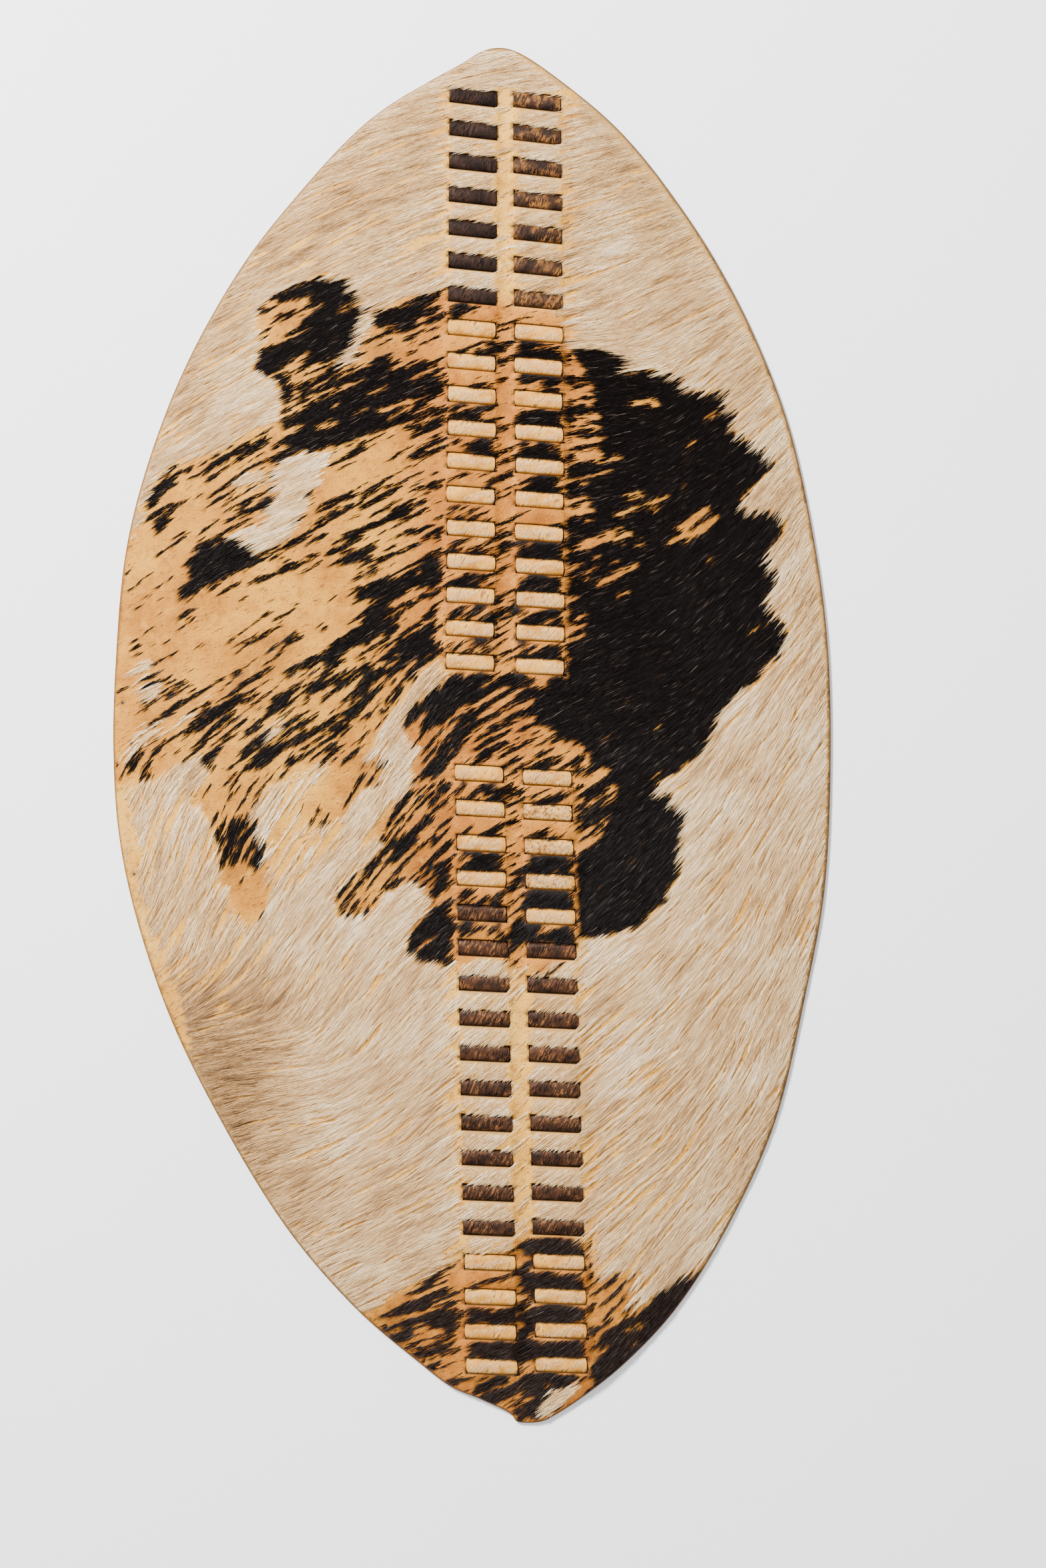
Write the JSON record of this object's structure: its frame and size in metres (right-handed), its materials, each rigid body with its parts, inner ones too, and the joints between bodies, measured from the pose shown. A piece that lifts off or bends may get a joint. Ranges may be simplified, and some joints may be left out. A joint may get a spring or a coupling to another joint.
{
  "type": "hide shield",
  "caption": "Pointed oval cowhide shield with its hair on and hide strips threaded through two upright columns of slits.",
  "frame": {"origin": "on the ground under the middle of the outline, with the shield lying on its rim and its hair side up", "axes": "+Y along the shield towards its upper tip, +X across it to the right as seen from the hair side, +Z out of the hair side"},
  "size_m": [0.548, 1.05, 0.0204],
  "materials": {
    "hide_skin": "dry rawhide with a pale and black cow's coat",
    "hair_pale": "short cream cow hair",
    "hair_black": "short black cow hair with a soft sheen",
    "strip_dark": "dark brown hide strip, hair worn thin",
    "strip_pale": "cream hide strip with short pale hair",
    "strip_brown": "brown hide strip with short glossy hair"
  },
  "bodies": {
    "root": {"hide_panel": "hide_skin", "strip_left_top_dark": "strip_dark", "strip_left_middle_white": "strip_pale", "strip_left_lower_brown": "strip_brown", "strip_left_foot_white": "strip_pale", "strip_right_top_dark": "strip_dark", "strip_right_middle_white": "strip_pale", "strip_right_lower_brown": "strip_brown", "strip_right_foot_white": "strip_pale"}
  },
  "joints": []
}
